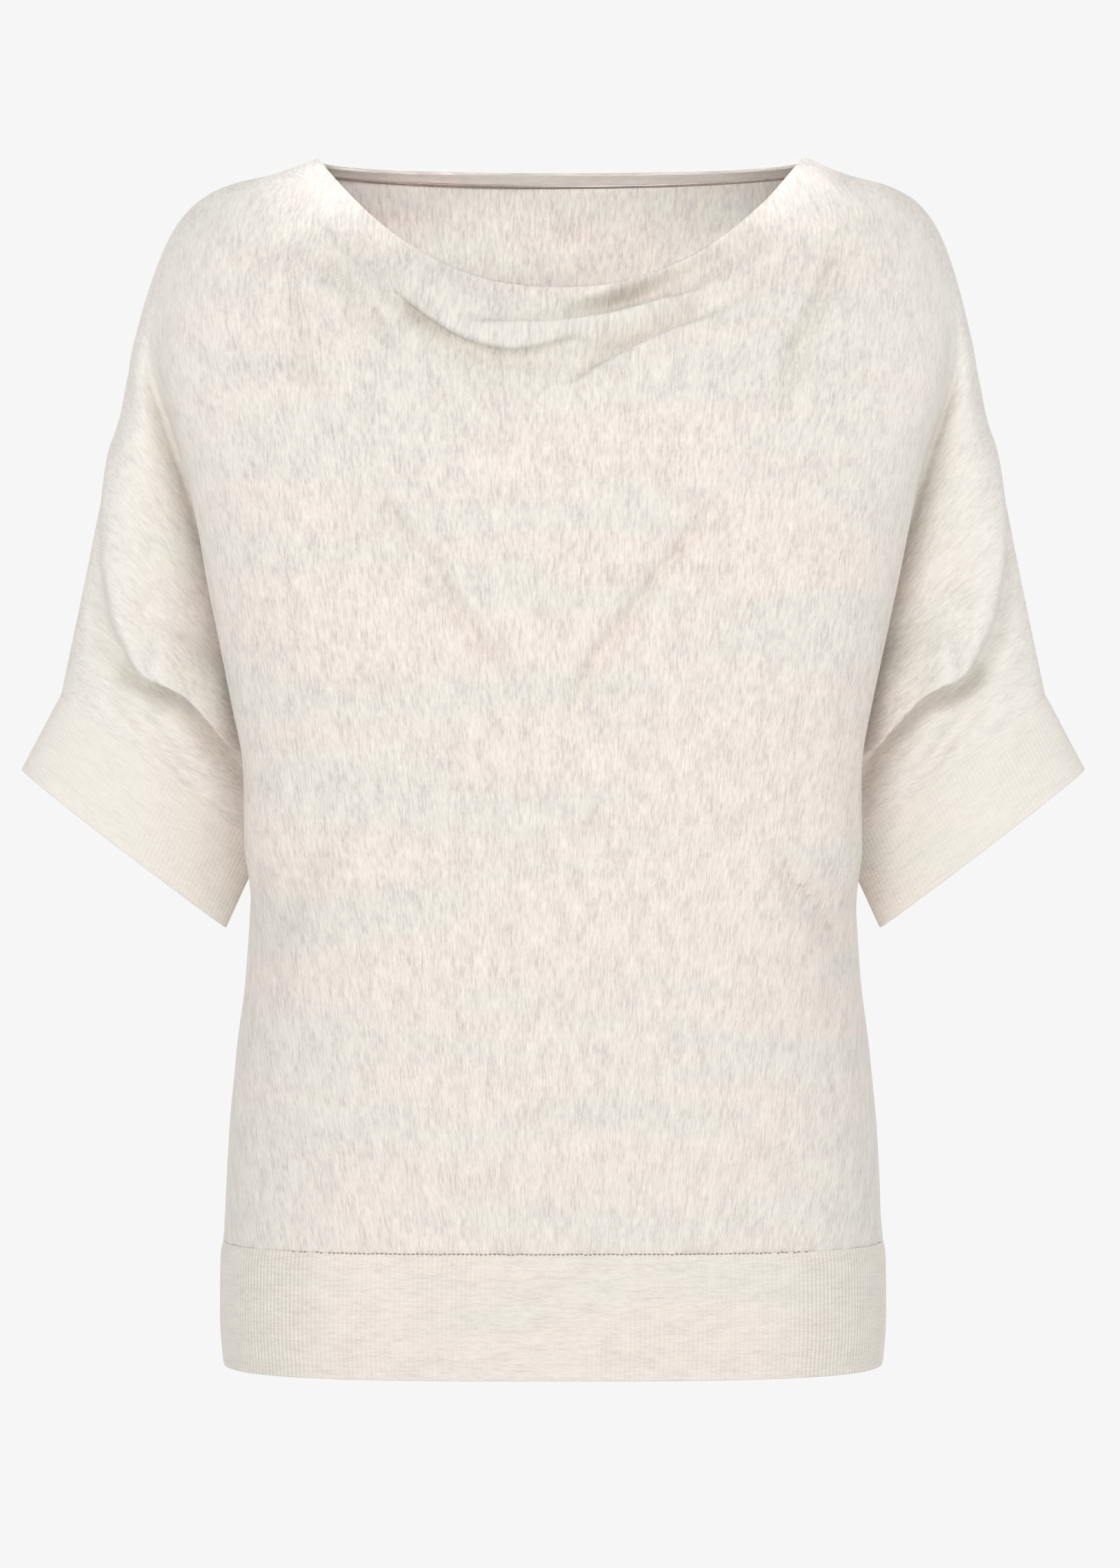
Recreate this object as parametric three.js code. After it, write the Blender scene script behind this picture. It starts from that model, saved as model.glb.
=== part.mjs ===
// Cowl neck sweater in fine marl knit: a batwing top with the sleeves cut in one with front and back,
// a draped neck, rib cuffs and a deep rib waistband. It is filled out as worn, and hollow.
// Units are millimetres. +Z is up, the front faces -Y, and +X is to the viewer's right.
// The origin is midway between the two neck points, where the wearer's shoulders carry the cloth.

import * as THREE from "three";

// Driving dimensions
const LENGTH = 629.5; // neck point to hem
const BAND_HEIGHT = 64;
const NECKBAND_SHARE = 0.018; // of the way up the back panel, which is 6 to 9 mm
const NECKBAND_GAP = 0.001; // in the same measure, the seam below it
const CLOTH = 2; // fine knit, measured over its loops
const BAND_CLOTH = 2.6; // the rib is thicker
const SEAM_GAP = 0.3;
const NECK_SHIFT = 4; // the neck sits this far to the viewer's right of the hem's middle

// Grid of a panel: columns from the middle out, and rows from the waistband to the neck
const BODY_COLUMNS = 13;
const CLEFT_COLUMNS = 3; // from the body's front edge into the fold beside the sleeve
const SLEEVE_COLUMNS = 10;
const SIDE_COLUMN = BODY_COLUMNS + CLEFT_COLUMNS; // the fold's bottom, and the side seam below the sleeve
const SLEEVE_START = SIDE_COLUMN + 1; // across the fold's bottom
const ARM_COLUMN = SLEEVE_START + SLEEVE_COLUMNS;
const FOLD_BOTTOM = 4; // width of the turn at the fold's bottom
const FOLD_TURN = { leaves: 0.5, arrives: 0.2 }; // share of the fold's depth that it runs straight back
const SHOULDER_START = 0.7; // the row above which the fold has gone and the body is one with the shoulder

const HALF_PI = Math.PI / 2;
const EDGE_ANGLE = THREE.MathUtils.degToRad(69); // where a smooth section has its last body column

// Shoulder and overarm seam, in the seam plane y = 0. v is 0 at the cuff and 1 at the neck point.
const OVERARM_SEAM = [
  { v: 0, x: 258.7, z: -281 },
  { v: 0.1, x: 252.5, z: -252 },
  { v: 0.2, x: 246.7, z: -224 },
  { v: 0.3, x: 241.5, z: -198 },
  { v: 0.4, x: 236, z: -172 },
  { v: 0.49, x: 229.5, z: -146 },
  { v: 0.58, x: 224.8, z: -121 },
  { v: 0.66, x: 220, z: -98 },
  { v: 0.73, x: 213.3, z: -72 },
  { v: 0.8, x: 202.8, z: -41.5 },
  { v: 0.86, x: 189, z: -22.5 },
  { v: 0.91, x: 171.5, z: -13 },
  { v: 0.955, x: 149.5, z: -7.5 },
  { v: 1, x: 127.7, z: 0.8 },
];

// The body's edge beside the sleeve, and the fold behind it. share is 1 where the fold is open.
const FRONT_EDGE = [
  { v: -1, x: 168, z: -565.2, y: -20, foldX: 172.5, foldY: 0, share: 0 },
  { v: -0.3, x: 159, z: -421, y: -24, foldX: 161, foldY: 0, share: 0 },
  { v: -0.13, x: 160, z: -387, y: -34, foldX: 159, foldY: 0, share: 0.5 },
  { v: 0, x: 159.6, z: -360, y: -45, foldX: 150, foldY: 0, share: 1 },
  { v: 0.1, x: 159.4, z: -323, y: -48, foldX: 150.5, foldY: -8, share: 1 },
  { v: 0.2, x: 165, z: -286, y: -50, foldX: 158, foldY: -13, share: 1 },
  { v: 0.3, x: 173, z: -249, y: -51, foldX: 168, foldY: -18, share: 1 },
  { v: 0.4, x: 181, z: -211, y: -51, foldX: 178.5, foldY: -23, share: 1 },
  { v: 0.49, x: 187.5, z: -177, y: -50, foldX: 188.5, foldY: -29, share: 1 },
  { v: 0.58, x: 193.5, z: -145, y: -48, foldX: 197, foldY: -35, share: 0.85 },
  { v: 0.66, x: 200, z: -116, y: -44, foldX: 205, foldY: -36, share: 0.45 },
  { v: 0.75, x: 205, z: -90, y: -38, foldX: 210, foldY: -34, share: 0 },
  { v: 1, x: 205, z: -90, y: -38, foldX: 210, foldY: -34, share: 0 },
];
const BACK_EDGE = [
  { v: -1, x: 168, z: -565.2, y: 20, foldX: 172.5, foldY: 0, share: 0 },
  { v: -0.3, x: 159, z: -421, y: 24, foldX: 161, foldY: 0, share: 0 },
  { v: -0.13, x: 160, z: -387, y: 32, foldX: 159, foldY: 0, share: 0.5 },
  { v: 0, x: 159.6, z: -360, y: 42, foldX: 150, foldY: 0, share: 1 },
  { v: 0.1, x: 160, z: -323, y: 44, foldX: 150.5, foldY: 7, share: 1 },
  { v: 0.3, x: 174, z: -249, y: 46, foldX: 169, foldY: 17, share: 1 },
  { v: 0.5, x: 190, z: -173, y: 46, foldX: 192, foldY: 28, share: 1 },
  { v: 0.7, x: 203, z: -105, y: 42, foldX: 210, foldY: 36, share: 0.2 },
  { v: 0.78, x: 205, z: -85, y: 38, foldX: 212, foldY: 34, share: 0 },
  { v: 1, x: 205, z: -85, y: 38, foldX: 212, foldY: 34, share: 0 },
];

// The middle line of each panel
const FRONT_MIDDLE = [
  { v: -1, z: -565.2, y: -115 },
  { v: -0.5, z: -462.6, y: -113 },
  { v: 0, z: -360, y: -113 },
  { v: 0.1, z: -323, y: -116.5 },
  { v: 0.2, z: -287, y: -121 },
  { v: 0.3, z: -251, y: -124.5 },
  { v: 0.4, z: -216, y: -125 },
  { v: 0.49, z: -184, y: -122 },
  { v: 0.58, z: -157, y: -117 },
  { v: 0.66, z: -135, y: -112 },
  { v: 0.74, z: -117, y: -107 },
  { v: 0.82, z: -103, y: -103 },
  { v: 0.9, z: -90, y: -98 },
  { v: 1, z: -74, y: -90 },
];
const BACK_MIDDLE = [
  { v: -1, z: -565.2, y: 112 },
  { v: -0.5, z: -462.6, y: 104 },
  { v: 0, z: -360, y: 94 },
  { v: 0.2, z: -287, y: 97 },
  { v: 0.35, z: -228, y: 103 },
  { v: 0.5, z: -168, y: 107 },
  { v: 0.65, z: -113, y: 103 },
  { v: 0.8, z: -60, y: 91 },
  { v: 0.9, z: -33, y: 80 },
  { v: 0.955, z: -16.5, y: 70 },
  { v: 1, z: 0.2, y: 60 },
];
// Half width of the body below the sleeves, and how round its section is: 1 is an ellipse, less is squarer
const BODY = [
  { v: -1, x: 172, round: 0.66 },
  { v: -0.75, x: 169.8, round: 0.7 },
  { v: -0.5, x: 165.3, round: 0.75 },
  { v: -0.34, x: 161.4, round: 0.78 },
  { v: -0.2, x: 160, round: 0.8 },
  { v: 0, x: 159.5, round: 0.8 },
  { v: 1, x: 159.5, round: 0.8 },
];
// Half depths of a sleeve's section, and how fast it leaves its fold: less is faster
const SLEEVE = [
  { v: 0, front: 27, back: 25, opening: 0.8 },
  { v: 0.2, front: 32, back: 30, opening: 0.74 },
  { v: 0.4, front: 33, back: 31, opening: 0.66 },
  { v: 0.6, front: 28, back: 28, opening: 0.58 },
  { v: 0.8, front: 24, back: 26, opening: 0.58 },
  { v: 1, front: 20, back: 22, opening: 0.58 },
];

// Cuff: where its four corners lie in the front view
const CUFF = {
  seamInner: { x: 152, z: -360 },
  seamOuter: { x: 258.7, z: -281 },
  hemInner: { x: 171.7, z: -403 },
  hemOuter: { x: 279.3, z: -320 },
};

// How far the waistband stands out from the section that it takes up; v is 0 at its seam, 1 at the hem
const BAND_SWELL = [
  { v: 0, out: 0.4 },
  { v: 0.12, out: 1.6 },
  { v: 0.6, out: 1.9 },
  { v: 1, out: 0.2 },
];
const BAND_RINGS = [1, 0.62, 0.3, 0.12, 0];
const CUFF_RINGS = [1, 0.66, 0.33, 0];

// Folds of the front as lines in the front view, x and z. width is the half width of a trough, and
// how far the swell beside a lap fades. lift is outwards and below 0 is a trough. A lap drops
// sharply on the side that its line has on the left as the line runs on.
const FOLDS = [
  { name: "left swag", part: "body", width: 30, lift: 10, lap: true,
    line: [[8, -106], [-34, -103.6], [-58, -94.5], [-78, -77], [-94, -57], [-110, -33]] },
  { name: "right swag", part: "body", width: 26, lift: 12, lap: true,
    line: [[119, -35], [102, -53], [86, -63], [66, -73], [50, -79], [30, -87], [14, -91], [-12, -96]] },
  { name: "under right swag", part: "body", width: 8, lift: -5, lap: false,
    line: [[112, -52], [88, -70], [60, -83], [30, -94], [8, -99]] },
  { name: "low swag", part: "body", width: 24, lift: 6, lap: true,
    line: [[122, -58], [103, -77], [90, -86], [66, -94.5], [38, -107], [26, -115], [12, -122], [-10, -126]] },
  { name: "chest left inner", part: "body", width: 8, lift: -3, lap: false,
    line: [[-126, -53], [-104, -79], [-82, -104]] },
  { name: "chest left outer", part: "body", width: 9, lift: -3.5, lap: false,
    line: [[-140, -69], [-130, -100], [-120, -132]] },
  { name: "chest right", part: "body", width: 9, lift: -3.5, lap: false,
    line: [[145, -60], [131, -96], [117, -132]] },
  { name: "belly left", part: "body", width: 11, lift: -3, lap: false,
    line: [[-93, -177], [-58, -225], [-30, -272]] },
  { name: "belly right", part: "body", width: 11, lift: -3.5, lap: false,
    line: [[85, -185], [45, -233], [18, -272], [4, -312]] },
  { name: "waist left", part: "body", width: 9, lift: -4, lap: false,
    line: [[-122, -370], [-140, -397], [-156, -421]] },
  { name: "waist right", part: "body", width: 9, lift: -4, lap: false,
    line: [[120, -367], [139, -395], [155, -419]] },
];
// Folds of each sleeve, for the right one in the front view; the left one has them mirrored
const SLEEVE_FOLDS = [
  { name: "overarm lap", part: "sleeve", width: 30, lift: 12, lap: true,
    line: [[227, -140], [232, -160], [235, -205], [229, -243], [222, -256], [212, -267], [198, -279]] },
  { name: "pouch lap", part: "sleeve", width: 34, lift: 13, lap: true,
    line: [[214, -272], [196, -279], [187, -287], [176, -300], [167, -311], [158, -324]] },
  { name: "cuff trough", part: "sleeve", width: 8, lift: -5, lap: false,
    line: [[226, -282], [205, -303], [196, -318], [185, -336]] },
];
const BACK_FOLDS = [
  { name: "back neck left", part: "body", width: 13, lift: -3, lap: false,
    line: [[-100, -30], [-70, -75], [-50, -130]] },
  { name: "back neck right", part: "body", width: 13, lift: -3, lap: false,
    line: [[104, -28], [76, -70], [48, -122]] },
  { name: "blade left", part: "body", width: 14, lift: -4, lap: false,
    line: [[-172, -120], [-150, -190], [-118, -262]] },
  { name: "blade right", part: "body", width: 14, lift: -4, lap: false,
    line: [[172, -126], [147, -200], [122, -270]] },
  { name: "waist left", part: "body", width: 10, lift: -4, lap: false,
    line: [[-112, -352], [-136, -390], [-155, -421]] },
  { name: "waist right", part: "body", width: 10, lift: -4, lap: false,
    line: [[110, -350], [137, -388], [155, -419]] },
];
const LAP_DROP = 8; // how wide the sharp side of a lap is
const LAP_END = 22; // how far from its ends a fold fades out
const STILL = { body: 3, seam: 8, cuff: 0.04 }; // columns, or rows, over which folds fade out at an edge

// Smooth value of one column of a table at v: a cubic through the rows that never overshoots them
function column(rows, key) {
  const slope = rows.slice(1).map((r, i) => (r[key] - rows[i][key]) / (r.v - rows[i].v));
  const tangent = rows.map((_, i) => {
    if (i === 0 || i === rows.length - 1) return slope[Math.min(i, slope.length - 1)];
    const [a, b] = [slope[i - 1], slope[i]];
    return a * b <= 0 ? 0 : (2 * a * b) / (a + b);
  });
  return (v) => {
    const at = THREE.MathUtils.clamp(v, rows[0].v, rows[rows.length - 1].v);
    const i = Math.max(0, rows.findLastIndex((r, k) => r.v <= at && k < rows.length - 1));
    const span = rows[i + 1].v - rows[i].v;
    const t = (at - rows[i].v) / span;
    const [p, q] = [rows[i][key], rows[i + 1][key]];
    return (
      p * (1 + 2 * t) * (1 - t) ** 2 +
      q * t * t * (3 - 2 * t) +
      span * t * (1 - t) * (tangent[i] * (1 - t) - tangent[i + 1] * t)
    );
  };
}

// Every column of a table as a function of v, by name
function columns(rows) {
  const names = Object.keys(rows[0]).filter((k) => k !== "v");
  return Object.fromEntries(names.map((k) => [k, column(rows, k)]));
}

const overarm = columns(OVERARM_SEAM);
const body = columns(BODY);
const sleeve = columns(SLEEVE);

const PANELS = {
  front: {
    side: -1,
    swag: 2.4, // how late a row turns up towards the shoulder
    middle: columns(FRONT_MIDDLE),
    edge: columns(FRONT_EDGE),
    depth: sleeve.front,
  },
  back: {
    side: 1,
    swag: 1.9,
    middle: columns(BACK_MIDDLE),
    edge: columns(BACK_EDGE),
    depth: sleeve.back,
  },
};

// A quarter of the body's section, from the middle (angle 0) to the side (a right angle)
function quarter(panel, v, angle, width, sideY, sideZ) {
  const middle = { y: panel.middle.y(v), z: panel.middle.z(v) };
  const across = Math.sin(angle) ** body.round(v);
  const round = Math.max(0, Math.cos(angle)) ** body.round(v);
  return new THREE.Vector3(
    width * across,
    sideY + (middle.y - sideY) * round,
    middle.z + (sideZ - middle.z) * across ** panel.swag,
  );
}

// A section with no fold: one quarter all the way to the side or overarm seam
function smoothPoint(panel, i, v, lastColumn) {
  const angle =
    i <= BODY_COLUMNS
      ? (EDGE_ANGLE * i) / BODY_COLUMNS
      : EDGE_ANGLE + ((HALF_PI - EDGE_ANGLE) * (i - BODY_COLUMNS)) / (lastColumn - BODY_COLUMNS);
  if (v < 0) return quarter(panel, v, angle, body.x(v), 0, panel.middle.z(v));
  return quarter(panel, v, angle, overarm.x(v), 0, overarm.z(v));
}

// Half of a sleeve's flat oval between its inner point and its outer point. share runs from 0 to 1.
function ovalPoint(inner, outer, depth, share, opening) {
  const angle = Math.PI * share;
  const along = ((1 - Math.cos(angle)) / 2) ** opening;
  const p = new THREE.Vector3().lerpVectors(inner, outer, along);
  p.y += depth * Math.sin(angle);
  return p;
}

// A section with the fold open between body and sleeve
function foldedPoint(panel, i, v) {
  const e = panel.edge;
  const edge = new THREE.Vector3(e.x(v), e.y(v), e.z(v));
  const fold = new THREE.Vector3(e.foldX(v), e.foldY(v), e.z(v));
  if (i <= BODY_COLUMNS) return quarter(panel, v, (HALF_PI * i) / BODY_COLUMNS, edge.x, edge.y, edge.z);
  if (i <= SIDE_COLUMN) {
    fold.x -= FOLD_BOTTOM / 2;
    const depth = fold.y - edge.y;
    const leave = edge.clone().setY(edge.y + depth * FOLD_TURN.leaves);
    const arrive = fold.clone().setY(fold.y - depth * FOLD_TURN.arrives);
    return new THREE.CubicBezierCurve3(edge, leave, arrive, fold).getPoint((i - BODY_COLUMNS) / CLEFT_COLUMNS);
  }
  const outer = new THREE.Vector3(overarm.x(v), 0, overarm.z(v));
  fold.x += FOLD_BOTTOM / 2;
  const share = (i - SLEEVE_START) / SLEEVE_COLUMNS;
  return ovalPoint(fold, outer, panel.side * panel.depth(v), share, sleeve.opening(v));
}

// Point of a panel before its folds, for column i >= 0 and row v
function formPoint(panel, i, v) {
  const share = panel.edge.share(v);
  const smooth = smoothPoint(panel, i, v, v < 0 ? SIDE_COLUMN : ARM_COLUMN);
  if (share === 0) return smooth;
  const folded = foldedPoint(panel, i, v);
  if (v < 0) folded.z = smooth.z;
  return smooth.lerp(folded, share);
}

// How far a fold lifts the cloth at a point of the front view
function liftAt(fold, x, z) {
  let best = null;
  let run = 0;
  fold.line.slice(1).forEach((q, k) => {
    const p = fold.line[k];
    const [dx, dz] = [q[0] - p[0], q[1] - p[1]];
    const length = Math.hypot(dx, dz);
    const along = ((x - p[0]) * dx + (z - p[1]) * dz) / length;
    const on = THREE.MathUtils.clamp(along, 0, length);
    const [nx, nz] = [x - p[0] - (dx * on) / length, z - p[1] - (dz * on) / length];
    const distance = Math.hypot(nx, nz);
    const left = dx * nz - dz * nx > 0 ? 1 : -1;
    if (!best || distance < best.distance) best = { distance, left, at: run + along };
    run += length;
  });
  const fade =
    THREE.MathUtils.smoothstep(best.at, -LAP_END / 2, LAP_END) *
    (1 - THREE.MathUtils.smoothstep(best.at, run - LAP_END, run + LAP_END / 2));
  if (!fold.lap) return fold.lift * fade * Math.exp(-((best.distance / fold.width) ** 2));
  const beside = best.left > 0 ? -best.distance : best.distance;
  const drop = THREE.MathUtils.smoothstep(beside, -LAP_DROP, 0);
  return fold.lift * fade * drop * (1 - THREE.MathUtils.smoothstep(beside, 0, fold.width));
}

function mirrored(fold) {
  return { ...fold, line: fold.line.map(([x, z]) => [-x, z]).reverse() };
}

const FOLDS_OF = {
  front: [...FOLDS, ...SLEEVE_FOLDS, ...SLEEVE_FOLDS.map(mirrored)],
  back: BACK_FOLDS,
};

// How freely a fold may move this column: it leaves the cleft and the seams where they are
function looseness(part, i, v) {
  if (part === "body" && v > SHOULDER_START) return THREE.MathUtils.smoothstep(ARM_COLUMN - i, 0, STILL.seam);
  if (part === "body") return THREE.MathUtils.smoothstep(BODY_COLUMNS - i, 0, STILL.body);
  if (v < 0) return 0;
  const share = THREE.MathUtils.clamp((i - SLEEVE_START) / SLEEVE_COLUMNS, 0, 1);
  return Math.sqrt(Math.sin(Math.PI * share)) * THREE.MathUtils.smoothstep(v, 0, STILL.cuff);
}

// Point of the cloth's outer face, for column i from -ARM_COLUMN to ARM_COLUMN
function clothPoint(name, i, v) {
  const panel = PANELS[name];
  const p = formPoint(panel, Math.abs(i), v);
  p.x *= Math.sign(i);
  for (const fold of FOLDS_OF[name]) {
    const free = looseness(fold.part, Math.abs(i), v);
    if (free > 0) p.y += panel.side * free * liftAt(fold, p.x, p.z);
  }
  p.x += NECK_SHIFT * THREE.MathUtils.smoothstep(v, SHOULDER_START, 1);
  const seam = (panel.side * SEAM_GAP) / 2;
  p.y = panel.side * Math.max(panel.side * p.y, panel.side * seam);
  return p;
}

// A closed wall from a sheet of points. quads list four corners, anticlockwise from outside. settle
// may turn the outward normal of point k, and keep may move an inner point.
function wall(points, quads, thickness, settle, keep) {
  const normals = points.map(() => new THREE.Vector3());
  for (const q of quads) {
    const n = new THREE.Vector3().subVectors(points[q[2]], points[q[0]]);
    n.cross(new THREE.Vector3().subVectors(points[q[3]], points[q[1]]));
    for (const k of q) normals[k].add(n);
  }
  const inner = points.map((p, k) => {
    settle(k, normals[k]);
    return keep(p.clone().addScaledVector(normals[k].normalize(), -thickness));
  });
  const all = [...points, ...inner];
  const triangles = [];
  const open = new Map();
  for (const q of quads) {
    triangles.push([q[0], q[1], q[2]], [q[0], q[2], q[3]]);
    const r = [...q].reverse().map((k) => k + points.length);
    triangles.push([r[0], r[1], r[3]], [r[1], r[2], r[3]]);
    q.forEach((a, k) => {
      const b = q[(k + 1) % q.length];
      if (open.has(`${b},${a}`)) open.delete(`${b},${a}`);
      else open.set(`${a},${b}`, [a, b]);
    });
  }
  for (const [a, b] of open.values()) {
    triangles.push([b, a, a + points.length], [b, a + points.length, b + points.length]);
  }
  const geometry = new THREE.BufferGeometry();
  geometry.setAttribute("position", new THREE.Float32BufferAttribute(all.flatMap((p) => p.toArray()), 3));
  geometry.setIndex(triangles.flat());
  geometry.computeVertexNormals();
  return geometry;
}

const ACROSS_SEAM = new THREE.Vector3(0, 1, 0);
const UP = new THREE.Vector3(0, 0, 1);
const CUFF_LINE = new THREE.Vector3(
  CUFF.seamOuter.x - CUFF.seamInner.x, 0, CUFF.seamOuter.z - CUFF.seamInner.z,
).normalize();

// Direction out of the sleeve's end, square to the cuff seam, on the side that sign gives
function outOfSleeve(sign) {
  return new THREE.Vector3(-CUFF_LINE.z * -sign, 0, -CUFF_LINE.x);
}

// Front or back: an L of rows on each half, because the sleeves end above the waist
function panelGeometry(name, lowRows, highRows, top) {
  const rows = [];
  for (let r = 0; r <= lowRows; r++) rows.push(-1 + r / lowRows);
  for (let r = 1; r <= highRows; r++) rows.push((top * r) / highRows);
  const side = PANELS[name].side;
  const [points, labels, index] = [[], [], new Map()];
  rows.forEach((v, r) => {
    const reach = v < 0 ? SIDE_COLUMN : ARM_COLUMN;
    for (let i = -reach; i <= reach; i++) {
      index.set(`${i},${r}`, points.length);
      points.push(clothPoint(name, i, v));
      labels.push({ i, v });
    }
  });
  const quads = [];
  rows.slice(1).forEach((_, r) => {
    for (let i = -ARM_COLUMN; i < ARM_COLUMN; i++) {
      const q = [[i, r], [i + 1, r], [i + 1, r + 1], [i, r + 1]].map(([a, b]) => index.get(`${a},${b}`));
      if (q.includes(undefined)) continue;
      quads.push(side < 0 ? q : q.reverse());
    }
  });
  const settle = (k, normal) => {
    const { i, v } = labels[k];
    const column = Math.abs(i);
    const onUnderarm = v <= 0 && (column === SIDE_COLUMN || column === SLEEVE_START);
    if (column === ARM_COLUMN || onUnderarm) normal.projectOnPlane(ACROSS_SEAM);
    if (v === 0 && column >= SLEEVE_START) normal.projectOnPlane(outOfSleeve(Math.sign(i)));
    if (v === -1) normal.projectOnPlane(UP);
  };
  const keep = (p) => p.setY(side * Math.max(side * p.y, SEAM_GAP / 2));
  return wall(points, quads, CLOTH, settle, keep);
}

// A tube from rings of points: rings[r][k], each ring closed, anticlockwise seen from its start
function tubeGeometry(rings, thickness, axis) {
  const n = rings[0].length;
  const quads = [];
  rings.slice(1).forEach((_, r) => {
    for (let k = 0; k < n; k++) {
      const next = (k + 1) % n;
      quads.push([r * n + k, r * n + next, (r + 1) * n + next, (r + 1) * n + k]);
    }
  });
  const ends = new Set([0, rings.length - 1]);
  const settle = (k, normal) => ends.has(Math.floor(k / n)) && normal.projectOnPlane(axis);
  return wall(rings.flat(), quads, thickness, settle, (p) => p);
}

// Rib waistband: it takes up the body's lowest section and drops straight to the hem
function waistbandGeometry() {
  const topZ = -(LENGTH - BAND_HEIGHT) - SEAM_GAP;
  const out = column(BAND_SWELL, "out");
  const outline = [];
  for (let i = -SIDE_COLUMN; i < SIDE_COLUMN; i++) outline.push(clothPoint("front", i, -1));
  for (let i = SIDE_COLUMN; i > -SIDE_COLUMN; i--) outline.push(clothPoint("back", i, -1));
  outline[0].y = 0;
  outline[2 * SIDE_COLUMN].y = 0;
  const rings = BAND_RINGS.map((t) =>
    outline.map((p) => {
      const away = new THREE.Vector3(p.x, p.y, 0).normalize();
      return p.clone().addScaledVector(away, out(t)).setZ(topZ + (-LENGTH - topZ) * t);
    }),
  );
  return tubeGeometry(rings, BAND_CLOTH, UP);
}

// Rib cuff: the sleeve's end section, carried on to the cuff's own hem
function cuffGeometry(sign) {
  const out = outOfSleeve(sign);
  const corner = (p) => new THREE.Vector3(sign * p.x, 0, p.z);
  const start = [corner(CUFF.seamInner), corner(CUFF.seamOuter)].map((p) => p.addScaledVector(out, SEAM_GAP));
  const end = [corner(CUFF.hemInner), corner(CUFF.hemOuter)];
  const opening = sleeve.opening(0);
  const ring = (t) => {
    const inner = start[0].clone().lerp(end[0], t);
    const outer = start[1].clone().lerp(end[1], t);
    const points = [];
    for (let k = 0; k < SLEEVE_COLUMNS; k++) {
      points.push(ovalPoint(inner, outer, -sleeve.front(0), k / SLEEVE_COLUMNS, opening));
    }
    for (let k = 0; k < SLEEVE_COLUMNS; k++) {
      points.push(ovalPoint(inner, outer, sleeve.back(0), 1 - k / SLEEVE_COLUMNS, opening));
    }
    return sign > 0 ? points : points.reverse();
  };
  return tubeGeometry(CUFF_RINGS.map(ring), CLOTH, out);
}

// Band on the back neck edge: the strip of the back panel above its seam, made a little thicker
function neckbandGeometry() {
  const rows = [1 - NECKBAND_SHARE + NECKBAND_GAP, 1 - NECKBAND_SHARE / 2, 1];
  const n = 2 * ARM_COLUMN + 1;
  const points = [];
  for (const v of rows) {
    for (let i = -ARM_COLUMN; i <= ARM_COLUMN; i++) points.push(clothPoint("back", i, v));
  }
  const quads = [];
  rows.slice(1).forEach((_, r) => {
    const [low, high] = [r * n, (r + 1) * n];
    for (let i = 0; i < n - 1; i++) quads.push([high + i, high + i + 1, low + i + 1, low + i]);
  });
  const settle = (k, normal) => (k % n === 0 || k % n === n - 1) && normal.projectOnPlane(ACROSS_SEAM);
  const keep = (p) => p.setY(Math.max(p.y, SEAM_GAP / 2));
  return wall(points, quads, BAND_CLOTH, settle, keep);
}

const knit = new THREE.MeshStandardMaterial({ color: 0xe9e3dc, roughness: 0.95, metalness: 0 });
const rib = new THREE.MeshStandardMaterial({ color: 0xe7e2d8, roughness: 0.95, metalness: 0 });

function piece(name, geometry, material) {
  const mesh = new THREE.Mesh(geometry, material);
  mesh.name = name;
  return mesh;
}

const sweater = new THREE.Group();
sweater.add(
  piece("front", panelGeometry("front", 8, 28, 1), knit),
  piece("back", panelGeometry("back", 7, 16, 1 - NECKBAND_SHARE), knit),
  piece("back_neckband", neckbandGeometry(), rib),
  piece("cuff_left", cuffGeometry(-1), rib),
  piece("cuff_right", cuffGeometry(1), rib),
  piece("waistband", waistbandGeometry(), rib),
);

export default sweater;
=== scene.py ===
# Cowl neck batwing sweater in oatmeal marl: fine knit front and back with the sleeves cut in one, a draped
# neck, a narrow band on the back neck, rib cuffs and a deep rib waistband. Filled out as worn, and hollow.
# Sizes are millimetres, turned into metres where a mesh is placed. +Z is up and the front faces -Y.
import copy
import math
import bmesh
import bpy
import numpy as np
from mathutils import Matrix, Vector


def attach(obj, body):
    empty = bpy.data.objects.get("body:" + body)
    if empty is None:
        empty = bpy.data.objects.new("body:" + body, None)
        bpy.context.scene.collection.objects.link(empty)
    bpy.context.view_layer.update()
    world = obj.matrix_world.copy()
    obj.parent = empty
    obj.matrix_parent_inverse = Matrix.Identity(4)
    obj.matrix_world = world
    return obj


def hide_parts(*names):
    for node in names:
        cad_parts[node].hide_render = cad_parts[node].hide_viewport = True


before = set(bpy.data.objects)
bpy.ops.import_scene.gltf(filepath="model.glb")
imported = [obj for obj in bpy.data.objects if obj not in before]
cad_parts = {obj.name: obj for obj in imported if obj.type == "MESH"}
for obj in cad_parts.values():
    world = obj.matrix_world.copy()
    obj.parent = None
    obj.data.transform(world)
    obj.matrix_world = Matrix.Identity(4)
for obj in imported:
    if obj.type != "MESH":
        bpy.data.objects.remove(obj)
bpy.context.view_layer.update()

MM = 0.001
LENGTH = 629.5  # neck point to hem
BAND_HEIGHT = 64
NECKBAND_SHARE = 0.018  # of the back's rows
CLOTH = 2
BAND_CLOTH = 2.6
SEAM_GAP = 0.3  # between the front and the back at their seams
JOIN_GAP = 0.03  # between a panel and its cuff or waistband, too narrow to see
SEAM_KEEP = 0.05  # how near the wall's inner face comes to the plane between front and back
NECK_SHIFT = 4  # how far the neck edge is moved to the right
RIB_PITCH = 2.3  # of the neckband's knit and of the waist seam's stitches
WAIST_RIBS = 400
CUFF_RIBS = 124
BODY_ROUND = 0.8  # BODY.round over most of the body, which spaces a panel's columns
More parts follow.
